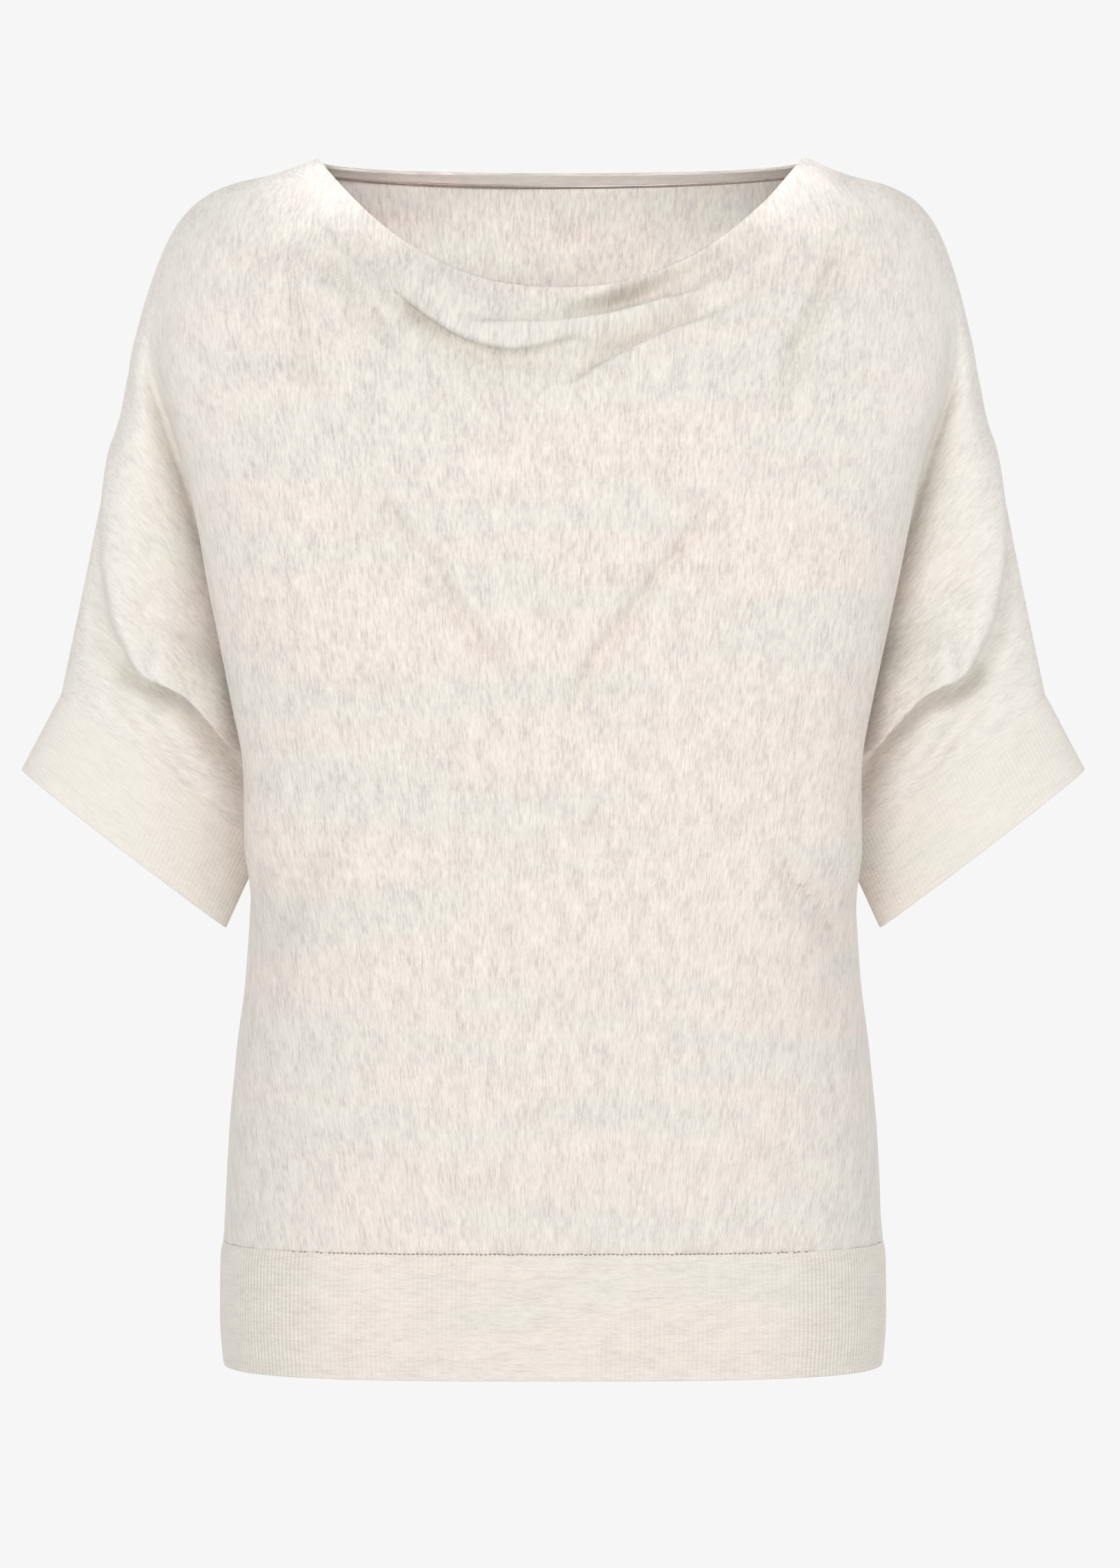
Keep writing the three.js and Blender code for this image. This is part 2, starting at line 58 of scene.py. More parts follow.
SEAM_FADE = (95, 150)  # how far off the middle the waist seam's stitches get fewer, and where they end
SINK_WIDTH = 11  # how far the hollow under a lap's rim reaches
LEAST_DEPTH = 0.45  # share of its distance from the plane y = 0 that folded cloth keeps
NECKBAND_CLOTH = 2.2
RIM_ANGLE = math.radians(62)  # an edge that turns by more than this is a rim, and is rounded
NECK_SHADOW_OFF = 0.3  # how far the thin dark tube of painted shadow under the neckband lies off the back's inner face
WAIST = -565.2  # height of the seam between the panels and the waistband
FLOOR = -1250
PHOTO_SPAN = 0.8239  # what the photo's height takes in at the sweater, in metres
VIEW_DISTANCE = 3.0
LIT_POINT = (0, 0, -0.3)  # where the large lamps aim, in metres
FROM_BELOW, FROM_ABOVE = 0.86, 0.67  # how strongly the surround lights

# Columns of a panel from the middle out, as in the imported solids: body, fold beside the sleeve, sleeve
BODY_COLUMNS = 13
SIDE_COLUMN = 16
SLEEVE_START = 17
ARM_COLUMN = 27
FOLD_BOTTOM = 4  # width of the bottom of the turn-in between body and sleeve, in millimetres
FOLD_TURN = {"leaves": 0.5, "arrives": 0.2}
SHOULDER_START = 0.7  # the row where the shoulder begins
EDGE_ANGLE = math.radians(69)  # how far round an unfolded section the last body column lies


class Table:
    """Columns by name, each a smooth function of the first one that never overshoots its rows."""

    def __init__(self, names, *rows):
        first, *columns = zip(*rows)
        for name, values in zip(names.split()[1:], columns):
            setattr(self, name, self.smooth(np.array(first, float), np.array(values, float)))

    @staticmethod
    def smooth(v, values):
        span = np.diff(v)
        slope = np.diff(values) / span
        before, after = slope[:-1], slope[1:]
        turns = before * after <= 0
        inner = np.where(turns, 0, 2 * before * after / np.where(turns, 1, before + after))
        tangent = np.concatenate([slope[:1], inner, slope[-1:]])

        def at(where):
            where = np.clip(where, v[0], v[-1])
            k = np.clip(np.searchsorted(v, where, side="right") - 1, 0, len(v) - 2)
            t = (where - v[k]) / span[k]
            from_rows = values[k] * (1 + 2 * t) * (1 - t) ** 2 + values[k + 1] * t * t * (3 - 2 * t)
            return from_rows + span[k] * t * (1 - t) * (tangent[k] * (1 - t) - tangent[k + 1] * t)

        return at


OVERARM = Table(
    "v x z",
    (0, 258.7, -281),
    (0.1, 252.5, -252),
    (0.2, 246.7, -224),
    (0.3, 241.5, -198),
    (0.4, 236, -172),
    (0.49, 229.5, -146),
    (0.58, 224.8, -121),
    (0.66, 220, -98),
    (0.73, 213.3, -72),
    (0.8, 202.8, -41.5),
    (0.86, 189, -22.5),
    (0.91, 171.5, -13),
    (0.955, 149.5, -7.5),
    (1, 127.7, 0.8),
)
FRONT_EDGE = Table(
    "v x z y foldX foldY share",
    (-1, 168, -565.2, -20, 172.5, 0, 0),
    (-0.3, 159, -421, -24, 161, 0, 0),
    (-0.13, 160, -387, -34, 159, 0, 0.5),
    (0, 159.6, -360, -45, 150, 0, 1),
    (0.1, 159.4, -323, -48, 150.5, -8, 1),
    (0.2, 165, -286, -50, 158, -13, 1),
    (0.3, 173, -249, -51, 168, -18, 1),
    (0.4, 181, -211, -51, 178.5, -23, 1),
    (0.49, 187.5, -177, -50, 188.5, -29, 1),
    (0.58, 193.5, -145, -48, 197, -35, 0.85),
    (0.66, 200, -116, -44, 205, -36, 0.45),
    (0.75, 205, -90, -38, 210, -34, 0),
    (1, 205, -90, -38, 210, -34, 0),
)
BACK_EDGE = Table(
    "v x z y foldX foldY share",
    (-1, 168, -565.2, 20, 172.5, 0, 0),
    (-0.3, 159, -421, 24, 161, 0, 0),
    (-0.13, 160, -387, 32, 159, 0, 0.5),
    (0, 159.6, -360, 42, 150, 0, 1),
    (0.1, 160, -323, 44, 150.5, 7, 1),
    (0.3, 174, -249, 46, 169, 17, 1),
    (0.5, 190, -173, 46, 192, 28, 1),
    (0.7, 203, -105, 42, 210, 36, 0.2),
    (0.78, 205, -85, 38, 212, 34, 0),
    (1, 205, -85, 38, 212, 34, 0),
)
FRONT_MIDDLE = Table(
    "v z y",
    (-1, -565.2, -115),
    (-0.5, -462.6, -113),
    (0, -360, -113),
    (0.1, -323, -116.5),
    (0.2, -287, -121),
    (0.3, -251, -124.5),
    (0.4, -216, -125),
    (0.49, -184, -122),
    (0.58, -157, -117),
    (0.66, -135, -112),
    (0.74, -117, -107),
    (0.82, -103, -103),
    (0.9, -90, -98),
    (1, -74, -90),
)
BACK_MIDDLE = Table(
    "v z y",
    (-1, -565.2, 112),
    (-0.5, -462.6, 104),
    (0, -360, 94),
    (0.2, -287, 97),
    (0.35, -228, 103),
    (0.5, -168, 107),
    (0.65, -113, 103),
    (0.8, -60, 91),
    (0.9, -33, 80),
    (0.955, -16.5, 70),
    (1, 0.2, 60),
)
BODY = Table(
    "v x round",
    (-1, 172, 0.66),
    (-0.75, 169.8, 0.7),
    (-0.5, 165.3, 0.75),
    (-0.34, 161.4, 0.78),
    (-0.2, 160, 0.8),
    (0, 159.5, 0.8),
    (1, 159.5, 0.8),
)
SLEEVE = Table(
    "v front back opening",
    (0, 27, 25, 0.8),
    (0.2, 32, 30, 0.74),
    (0.4, 33, 31, 0.66),
    (0.6, 28, 28, 0.58),
    (0.8, 24, 26, 0.58),
    (1, 20, 22, 0.58),
)
BAND = Table("v out", (0, 0.4), (0.12, 1.6), (0.6, 1.9), (1, 0.2))
CUFF = {
    "seam_inner": (152, 0, -360),
    "seam_outer": (258.7, 0, -281),
    "hem_inner": (171.7, 0, -403),
    "hem_outer": (279.3, 0, -320),
}


class Panel:
    """One side of the sweater: which way it faces, and its lines."""

    def __init__(self, side, swag, middle, edge, depth):
        self.side, self.swag, self.middle, self.edge, self.depth = side, swag, middle, edge, depth


FRONT = Panel(-1, 2.4, FRONT_MIDDLE, FRONT_EDGE, SLEEVE.front)
BACK = Panel(1, 1.9, BACK_MIDDLE, BACK_EDGE, SLEEVE.back)


class Fold:
    """A fold along a line of the front view. Its lift is outwards, and below 0 it is a trough. A lap
    drops within drop on the left of its line, its rim hangs over that side by hang, and the cloth below
    the rim is sunk by sink."""

    def __init__(self, part, width, lift, line, drop=0, hang=0, sink=0, end=22):
        self.part, self.width, self.lift, self.end = part, width, lift, end
        self.drop, self.hang, self.sink = drop, hang, sink
        self.line = rounded(np.array(line, float))

    def mirrored(self):
        twin = copy.copy(self)
        twin.line = self.line[::-1] * (-1, 1)
        return twin


def rounded(line, times=2):
    """The line with its corners cut twice, so that it bends softly."""
    for _ in range(times):
        a, b = line[:-1], line[1:]
        cut = np.stack([0.75 * a + 0.25 * b, 0.25 * a + 0.75 * b], axis=1).reshape(-1, 2)
        line = np.vstack([line[:1], cut[1:-1], line[-1:]])
    return line


COWL_FOLDS = [
    Fold(
        "body", 24, 8,
        [(10, -104), (-8, -107.5), (-22, -108), (-36, -105.5), (-49, -100.5), (-61, -93.5), (-74, -85),
         (-88, -75)],
        3, 4, 6, end=34,
    ),
    Fold("body", 6, -7, [(-56, -96), (-71, -85), (-88, -71), (-103, -54), (-118, -34)]),
    Fold(
        "body", 20, 8,
        [(-40, -89), (-22, -91.5), (-6, -91.5), (8, -90.5), (23, -88.5), (37, -85.5), (52, -80.5), (70, -73)],
        3, 4, 9, end=28,
    ),
    Fold("body", 5, -7, [(6, -87), (20, -85), (35, -80.5), (50, -75)], end=18),
    Fold("body", 6.5, -8, [(20, -86), (40, -79), (58, -71), (76, -64), (90, -55), (104, -42), (118, -26)]),
    Fold("body", 11, 4, [(-84, -52), (-62, -73), (-34, -87), (0, -88), (36, -73), (66, -56), (92, -36)]),
    Fold(
        "body", 20, 5,
        [(10, -123), (22, -116), (34, -109), (48, -102), (64, -95), (80, -87)],
        4, 3, 8, end=22,
    ),
    Fold("body", 7, -4, [(56, -94), (78, -84), (98, -72), (116, -54)]),
]
CHEST_FOLDS = [
    Fold("body", 3.5, -8, [(-130, -46), (-106, -76), (-80, -106)]),
    Fold("body", 9, 2.5, [(-118, -46), (-98, -70), (-74, -96)]),
    Fold("body", 4, -6, [(-142, -66), (-132, -100), (-120, -134)]),
    Fold("body", 4, -9, [(146, -52), (134, -84), (116, -134)]),
    Fold("body", 10, 3, [(136, -48), (124, -80), (106, -124)]),
    Fold("body", 3.2, -7, [(-93, -177), (-75, -200), (-58, -225), (-42, -250), (-27, -275)]),
    Fold("body", 9, 2, [(-84, -172), (-64, -198), (-47, -224), (-31, -250), (-17, -272)]),
    Fold("body", 3, -1.8, [(-64, -205), (-50, -232), (-36, -254)], end=16),
    Fold("body", 3.2, -8, [(88, -181), (64, -209), (45, -233), (30, -254), (18, -272), (6, -304)]),
    Fold("body", 9, 2.5, [(78, -178), (54, -206), (36, -230), (20, -254), (8, -276)]),
    Fold("body", 3, -2, [(2, -238), (9, -262), (4, -292)], end=16),
    Fold("body", 3.5, -9, [(-112, -362), (-134, -392), (-156, -421)]),
    Fold("body", 3.5, -9, [(110, -360), (133, -390), (155, -419)]),
    Fold("body", 13, 4.5, [(-96, -366), (-120, -400), (-140, -436)]),
    Fold("body", 13, 4.5, [(96, -364), (119, -398), (140, -434)]),
]
SLEEVE_FOLDS = [
    Fold(
        "sleeve", 30, 9,
        [(227, -136), (232, -160), (235, -205), (229, -243), (222, -256), (210, -268), (194, -280)], 5, 2, 13,
    ),
    Fold(
        "sleeve", 30, 15,
        [(222, -268), (205, -275), (196, -279), (187, -287), (176, -300), (167, -311), (155, -326),
         (148, -340)],
        5, 7, 13, end=16,
    ),
    Fold("sleeve", 4.5, -6, [(226, -282), (205, -303), (196, -318), (183, -340)], end=16),
    Fold("sleeve", 5, -6, [(208, -228), (212, -250), (205, -276)], end=12),
]
BACK_FOLDS = [
    Fold("body", 12, -3, [(-100, -30), (-70, -75), (-50, -130)]),
    Fold("body", 12, -3, [(104, -28), (76, -70), (48, -122)]),
    Fold("body", 12, -4, [(-172, -120), (-150, -190), (-118, -262)]),
    Fold("body", 12, -4, [(172, -126), (147, -200), (122, -270)]),
    Fold("body", 9, -4, [(-112, -352), (-136, -390), (-155, -421)]),
    Fold("body", 9, -4, [(110, -350), (137, -388), (155, -419)]),
]
FOLDS = {
    FRONT: COWL_FOLDS + CHEST_FOLDS + SLEEVE_FOLDS + [f.mirrored() for f in SLEEVE_FOLDS],
    BACK: BACK_FOLDS,
}


def smoothstep(x, low, high):
    t = np.clip((x - low) / (high - low), 0, 1)
    return t * t * (3 - 2 * t)


def point(x, y, z):
    return np.stack(np.broadcast_arrays(x, y, z), axis=-1).astype(float)


def blend(a, b, share):
    return a + (b - a) * np.asarray(share)[..., None]


def quarter(panel, v, angle, width, side_y, side_z):
    """A quarter of the body's section, from the middle (angle 0) to the side (a right angle)."""
    across = np.sin(angle) ** BODY.round(v)
    into = np.clip(np.cos(angle), 0, 1) ** BODY.round(v)
    y, z = panel.middle.y(v), panel.middle.z(v)
    return point(width * across, side_y + (y - side_y) * into, z + (side_z - z) * across**panel.swag)


def smooth_point(panel, i, v):
    """A section with no fold: one quarter all the way to the side or overarm seam."""
    last = np.where(v < 0, SIDE_COLUMN, ARM_COLUMN)
    beyond = EDGE_ANGLE + (math.pi / 2 - EDGE_ANGLE) * (i - BODY_COLUMNS) / (last - BODY_COLUMNS)
    angle = np.where(i <= BODY_COLUMNS, EDGE_ANGLE * i / BODY_COLUMNS, beyond)
    angle = np.clip(angle, 0, math.pi / 2)
    low = quarter(panel, v, angle, BODY.x(v), 0, panel.middle.z(v))
    high = quarter(panel, v, angle, OVERARM.x(v), 0, OVERARM.z(v))
    return np.where((v < 0)[..., None], low, high)


def oval_point(inner, outer, depth, share, opening):
    """Half of a sleeve's flat oval between its inner point and its outer point, share from 0 to 1."""
    angle = math.pi * np.clip(share, 0, 1)
    p = blend(inner, outer, ((1 - np.cos(angle)) / 2) ** opening)
    p[..., 1] += depth * np.sin(angle)
    return p


def bezier(a, b, c, d, t):
    t = np.clip(t, 0, 1)[..., None]
    return a * (1 - t) ** 3 + 3 * b * t * (1 - t) ** 2 + 3 * c * t**2 * (1 - t) + d * t**3


def folded_point(panel, i, v):
    """A section with the fold open between body and sleeve."""
    e = panel.edge
    edge = point(e.x(v), e.y(v), e.z(v))
    near = point(e.foldX(v) - FOLD_BOTTOM / 2, e.foldY(v), e.z(v))
    far = point(e.foldX(v) + FOLD_BOTTOM / 2, e.foldY(v), e.z(v))
    deep = point(0, e.foldY(v) - e.y(v), 0)
    angle = np.clip(math.pi / 2 * i / BODY_COLUMNS, 0, math.pi / 2)
    body = quarter(panel, v, angle, edge[..., 0], edge[..., 1], edge[..., 2])
    into = (i - BODY_COLUMNS) / (SIDE_COLUMN - BODY_COLUMNS)
    turn = bezier(edge, edge + deep * FOLD_TURN["leaves"], near - deep * FOLD_TURN["arrives"], near, into)
    bottom = blend(near, far, np.clip(i - SIDE_COLUMN, 0, 1))
    outer = point(OVERARM.x(v), 0, OVERARM.z(v))
    share = (i - SLEEVE_START) / (ARM_COLUMN - SLEEVE_START)
    arm = oval_point(far, outer, panel.side * panel.depth(v), share, SLEEVE.opening(v))
    where = np.digitize(i, [BODY_COLUMNS, SIDE_COLUMN, SLEEVE_START], right=True)[..., None]
    return np.select([where == 0, where == 1, where == 2], [body, turn, bottom], arm)


def form_point(panel, i, v):
    """Point of a panel before its folds, for column i >= 0 and row v."""
    smooth = smooth_point(panel, i, v)
    folded = folded_point(panel, i, v)
    folded[..., 2] = np.where(v < 0, smooth[..., 2], folded[..., 2])
    return blend(smooth, folded, panel.edge.share(v))


def beside_line(line, x, z):
    """How far right of a line a point lies, how far along it, and which way is left."""
    best = np.full(x.shape, np.inf)
    beside, along = np.zeros(x.shape), np.zeros(x.shape)
    left = np.zeros((*x.shape, 2))
    run = 0
    for (px, pz), (qx, qz) in zip(line, line[1:]):
        dx, dz = qx - px, qz - pz
        length = math.hypot(dx, dz)
        free = ((x - px) * dx + (z - pz) * dz) / length
        on = np.clip(free, 0, length)
        nx, nz = x - px - dx * on / length, z - pz - dz * on / length
        distance = np.hypot(nx, nz)
        nearer = distance < best
        best = np.where(nearer, distance, best)
        beside = np.where(nearer, np.where(dx * nz - dz * nx > 0, -distance, distance), beside)
        along = np.where(nearer, run + free, along)
        left[nearer] = (-dz / length, dx / length)
        run += length
    return beside, along, left, run


def looseness(part, i, v):
    """How freely a fold may move this column: it leaves the turn-in and the seams where they are."""
    arm = np.clip((i - SLEEVE_START) / (ARM_COLUMN - SLEEVE_START), 0, 1)
    sleeve = smoothstep(arm, 0, 0.16) * smoothstep(1 - arm, 0, 0.12) * smoothstep(v, 0, 0.04)
    shoulder = smoothstep(ARM_COLUMN - i, 0, 8)
    body = np.where(v > SHOULDER_START, shoulder, smoothstep(BODY_COLUMNS - i, 0, 3))
    return body if part == "body" else np.where(v < 0, 0, sleeve)


def fold_shift(panel, fold, i, v, p):
    """How a fold moves the cloth's points: outwards, and for a lap's rim sideways too."""
    beside, along, left, run = beside_line(fold.line, p[..., 0], p[..., 2])
    fade = smoothstep(along, -fold.end / 2, fold.end)
    fade *= 1 - smoothstep(along, run - fold.end, run + fold.end / 2)
    fade = fade * looseness(fold.part, i, v)
    shift = np.zeros(p.shape)
    if not fold.drop:
        shift[..., 1] = panel.side * fold.lift * fade * np.exp(-((beside / fold.width) ** 2))
        return shift
    t = beside - fold.hang
    rise = smoothstep(t, -fold.drop, 0)
    swell = 1 - smoothstep(t, 0, fold.width)
    under = fold.sink * (1 - rise) * np.exp(-((np.minimum(t + fold.drop, 0) / SINK_WIDTH) ** 2))
    shift[..., 1] = panel.side * fade * (fold.lift * rise * swell - under)
    over = fold.hang * fade * rise * (1 - smoothstep(t, 0, fold.width * 0.6))
    shift[..., 0] = left[..., 0] * over
    shift[..., 2] = left[..., 1] * over
    return shift


def ripples(x, z, seed, pitch, count=14):
    """Soft uneven undulation between about -1 and 1, with waves about pitch long."""
    draw = np.random.default_rng(seed)
    total = np.zeros(x.shape)
    for _ in range(count):
        heading = draw.uniform(0, math.pi)
        length = pitch * draw.uniform(0.7, 1.6)
        phase = draw.uniform(0, 6.28)
        total += np.sin((x * math.cos(heading) + z * math.sin(heading)) * 2 * math.pi / length + phase)
    return total / math.sqrt(count)


def cloth_point(panel, i, v):
    """Point of the cloth's outer face with its folds, for column i from -27 to 27 and row v."""
    p = form_point(panel, np.abs(i), v)
    p[..., 0] *= np.sign(i)
    total = np.zeros(p.shape)
    for fold in FOLDS[panel]:
        total += fold_shift(panel, fold, np.abs(i), v, p)
    least = np.maximum(LEAST_DEPTH * panel.side * p[..., 1], SEAM_GAP / 2)
    p += total
    p[..., 0] += NECK_SHIFT * smoothstep(v, SHOULDER_START, 1)
    p[..., 1] = panel.side * np.maximum(panel.side * p[..., 1], least)
    return p


def steps(*parts):
    """Values from one stop to the next, with a number of steps for each stretch."""
    values = [np.array([parts[0]], float)]
    for count, stop in zip(parts[1::2], parts[2::2]):
        values.append(np.linspace(values[-1][-1], stop, count + 1)[1:])
    return np.concatenate(values)


def lattice(columns, rows, points, maps):
    """A grid of faces through points, one column for each value in columns and one row for each in rows,
    with its UV maps."""
    bm = bmesh.new()
    bmesh.ops.create_grid(bm, x_segments=len(columns) - 1, y_segments=len(rows) - 1, size=1)
    bm.verts.ensure_lookup_table()
    for vert, co in zip(bm.verts, points.reshape(-1, 3) * MM):
        vert.co = co
    bm.verts.index_update()
    for name, values in maps.items():
        flat = values.reshape(-1, 2)
        layer = bm.loops.layers.uv.new(name)
        for face in bm.faces:
            for loop in face.loops:
                loop[layer].uv = flat[loop.vert.index]
    return bm


def at_flat_seam(co):
    """Whether a point is on the join between sleeve and cuff or on the waist seam, whose rims stay square."""
    (x, _, z), (far_x, _, far_z) = CUFF["seam_inner"], CUFF["seam_outer"]
    away = ((abs(co.x) - x) * (far_z - z) - (co.z - z) * (far_x - x)) / math.hypot(far_x - x, far_z - z)
    at_waist = abs(co.z + LENGTH - BAND_HEIGHT) < 0.6
    return at_waist or (abs(away) < 0.5 and abs(co.x) > x - 1)


def thicken(bm, thickness, side=0, rim=0.45, rings=2):
    """Give the sheet its wall, inwards, and round its rims. side keeps a panel on its own half of y = 0."""
    bm.normal_update()
    ribs = bm.verts.layers.float.get("ribs")
    raised = [(vert, vert.normal * vert[ribs] * MM) for vert in bm.verts] if ribs else []
    made = bmesh.ops.solidify(bm, geom=bm.faces[:], thickness=thickness * MM)
    for vert, shift in raised:
        vert.co += shift
    if side:
        for vert in (g for g in made["geom"] if isinstance(g, bmesh.types.BMVert)):
            vert.co.y = side * max(side * vert.co.y, SEAM_KEEP * MM)
    bm.normal_update()
    sharp = []
    for edge in bm.edges:
        if len(edge.link_faces) == 2 and edge.calc_face_angle(0) > RIM_ANGLE:
            if all(at_flat_seam(vert.co / MM) for vert in edge.verts):
                edge.smooth = False
            else:
                sharp.append(edge)
    bmesh.ops.bevel(
        bm, geom=sharp, offset=rim * MM, segments=rings, profile=0.5, affect="EDGES", material=-1,
        clamp_overlap=True,
    )
    return bm


def settled(bm, shift):
    """Move the sheet's points along their normals by shift, in millimetres."""
    bm.normal_update()
    for vert, amount in zip(bm.verts, shift):
        vert.co += vert.normal * float(amount) * MM


def piece(name, bm, material, node):
    """A finished piece: smooth, in its material, riding with the sweater in place of its solid."""
    for face in bm.faces:
        face.smooth = True
    mesh = bpy.data.meshes.new(name)
    bm.to_mesh(mesh)
    bm.free()
    mesh.materials.append(material)
    made = bpy.data.objects.new(name, mesh)
    bpy.context.scene.collection.objects.link(made)
    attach(made, "root")
    if node:
        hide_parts(node)
    return made


# Where the wales fan out from, below the body and below each sleeve, and the radius at which they keep scale
BODY_FAN = {"z": -1100, "radius": 700}
SLEEVE_FAN = {"z": -440, "radius": 300}


def panel_maps(panel, i, v):
    """Cloth coordinates in metres: the body's wales, the sleeves' wales, and where the sleeve's count."""
    p = form_point(panel, np.abs(i), v)
    p[..., 0] *= np.sign(i)
    step = np.hypot(np.diff(p[..., 0], axis=1), np.diff(p[..., 1], axis=1))
    around = np.concatenate([np.zeros((len(p), 1)), np.cumsum(step, axis=1)], axis=1)
    around -= around[:, i.shape[1] // 2, None]
    up = p[..., 2] - BODY_FAN["z"]
    body = np.stack([around * BODY_FAN["radius"] / up, p[..., 2]], axis=-1)
    out, rise = np.abs(p[..., 0]), p[..., 2] - SLEEVE_FAN["z"]
    turn = np.arctan2(out, rise) * SLEEVE_FAN["radius"]
    sleeve = np.stack([turn * np.sign(i), np.hypot(out, rise)], axis=-1)
    share = smoothstep(np.abs(i), 10 + 2.5 * (1 - smoothstep(v, 0.6, 0.84)), 17.5)
    return {"knit": body * MM, "sleeve_knit": sleeve * MM, "sleeve_share": np.stack([share, share], axis=-1)}


def whole_row(body, turn, sleeve):
    """Columns of a panel, evenly spaced over the body as seen from the front, with this many steps on each
    side for the body, for the turn-in beside the sleeve and for the sleeve."""
    width = np.linspace(0, math.sin(EDGE_ANGLE) ** BODY_ROUND, body + 1)
    half = np.concatenate([
        BODY_COLUMNS * np.arcsin(width ** (1 / BODY_ROUND)) / EDGE_ANGLE,
        steps(BODY_COLUMNS, turn, SIDE_COLUMN, 3, SLEEVE_START, sleeve, ARM_COLUMN)[1:],
    ])
    return np.concatenate([-half[:0:-1], half])


FRONT_COLUMNS = whole_row(66, 12, 46)
FRONT_ROWS = steps(-1, 8, -0.94, 38, 0, 90, 0.62, 66, 1)
BACK_COLUMNS = -whole_row(48, 9, 36)
BACK_ROWS = steps(-1, 8, -0.94, 34, 0, 96, 1 - NECKBAND_SHARE)


def panel_piece(name, panel, columns, rows, material, seed):
    """Front or back: the sheet on its solid's form, then its small unevenness, its seams and its wall."""
    i, v = np.meshgrid(columns, rows)
    maps = panel_maps(panel, i, v)
    bm = lattice(columns, rows, cloth_point(panel, i, v), maps)
    i, v, across = i.ravel(), v.ravel(), maps["knit"][..., 0].ravel() / MM
    outside = (v < -1e-6) & (np.abs(i) > SIDE_COLUMN + 1e-6)
    gone = [vert for vert, out in zip(bm.verts, outside) if out]
    bmesh.ops.delete(bm, geom=gone, context="VERTS")
    i, v, across = i[~outside], v[~outside], across[~outside]
    fold = [
        vert for vert, column in zip(bm.verts, np.abs(i)) if 15 < column < 18.5 and not vert.is_boundary
    ]
    soft = [vert for vert in bm.verts if not vert.is_boundary]
    for verts, times in ((fold, 3), (soft, 1)):
        for _ in range(times):
            bmesh.ops.smooth_vert(
                bm, verts=verts, factor=0.5, use_axis_x=True, use_axis_y=True, use_axis_z=True
            )
    p = np.array([vert.co[:] for vert in bm.verts]) / MM
    last = np.where(v < 0, SIDE_COLUMN, ARM_COLUMN)
    to_seam = last - np.abs(i)
    free = smoothstep(to_seam, 0, 2) * smoothstep(v, -1, -0.94)
    free *= 1 - smoothstep(np.abs(i), SIDE_COLUMN, SLEEVE_START) * (1 - smoothstep(v, 0, 0.06))
    z = p[:, 2]
    # Long and short waves in the cloth, puckers above the waistband, and edges that a seam draws in
    uneven = 1.0 * ripples(across, z * 0.6, seed, 85) + 0.28 * ripples(across, z * 0.5, seed + 1, 26)
    above_band = z + LENGTH - BAND_HEIGHT
    puckers = 0.55 * ripples(across, 0.15 * z, seed + 2, 11) * np.exp(-above_band / 7)
    tuck = 0.55 * (1 - smoothstep(to_seam, 0, 0.35)) + 0.25 * (1 - smoothstep(v, -1, -0.993))
    settled(bm, uneven * free * 0.6 + puckers * smoothstep(to_seam, 0, 0.5) - tuck)
    thicken(bm, CLOTH, side=panel.side, rim=0.5)
    return piece(name, bm, material, name.removesuffix("_panel"))


def evenly(line, count):
    """count + 1 evenly spaced points along a line that is closed by its first point, and its length."""
    closed = np.vstack([line, line[:1]])
    run = np.concatenate([[0], np.cumsum(np.linalg.norm(np.diff(closed, axis=0), axis=1))])
    at = np.linspace(0, run[-1], count + 1)
    return np.stack([np.interp(at, run, closed[:, k]) for k in range(3)], axis=1), run[-1]


def ring_piece(name, rows, ring_at, ribs, thickness, material, node, depth, tuck, per_rib=4):
    """A rib tube. ring_at(t) gives its line at each height t, from its hem (1) to its seam (0). The outer
    face's ribs stand out and in by depth, and it is drawn in by tuck at both rims."""
    count = ribs * per_rib
    rings = [evenly(ring_at(t), count) for t in rows]
    points = np.stack([ring for ring, _ in rings])
    phase = np.arange(count + 1) / per_rib
    edge = smoothstep(np.minimum(rows, 1 - rows), 0, 0.05)[:, None]
    relief = depth * np.cos(2 * math.pi * phase)[None] * edge - tuck * (1 - edge)
    length = np.array([r for _, r in rings])[:, None]
    along = np.linalg.norm(np.diff(points, axis=0), axis=-1).mean(axis=1)
    height = np.concatenate([[0], np.cumsum(along)])[:, None]
    knit = np.stack(np.broadcast_arrays(phase[None] / ribs * length, height), axis=-1)
    maps = {"knit": knit * MM, "ribs": np.stack(np.broadcast_arrays(phase[None], height), axis=-1)}
    bm = lattice(phase, rows, points, maps)
    layer = bm.verts.layers.float.new("ribs")
    bm.verts.ensure_lookup_table()
    for vert, amount in zip(bm.verts, relief.ravel()):
        vert[layer] = amount
    bmesh.ops.remove_doubles(bm, verts=bm.verts[:], dist=1e-6)
    thicken(bm, thickness, rim=0.6)
    return piece(name, bm, material, node)


def waist_ring(t):
    """The waistband's line at a height: the body's lowest section, standing out a little."""
    i = steps(-SIDE_COLUMN, 128, SIDE_COLUMN)
    low = np.full(i.shape, -1.0)
    front = cloth_point(FRONT, i, low)
    back = cloth_point(BACK, -i, low)
    front[0, 1] = back[0, 1] = 0
    line = np.vstack([front[:-1], back[:-1]])
    away = line * (1, 1, 0)
    away /= np.linalg.norm(away, axis=1, keepdims=True)
    line = line + away * BAND.out(t)
    top = WAIST - JOIN_GAP
    line[:, 2] = top + (-LENGTH - top) * t
    return line


def cuff_axis(sign):
    """Out of the sleeve's end, square to the cuff's seam."""
    x, z = (CUFF["seam_outer"][k] - CUFF["seam_inner"][k] for k in (0, 2))
    length = math.hypot(x, z)
    return np.array([sign * z / length, 0, -x / length])


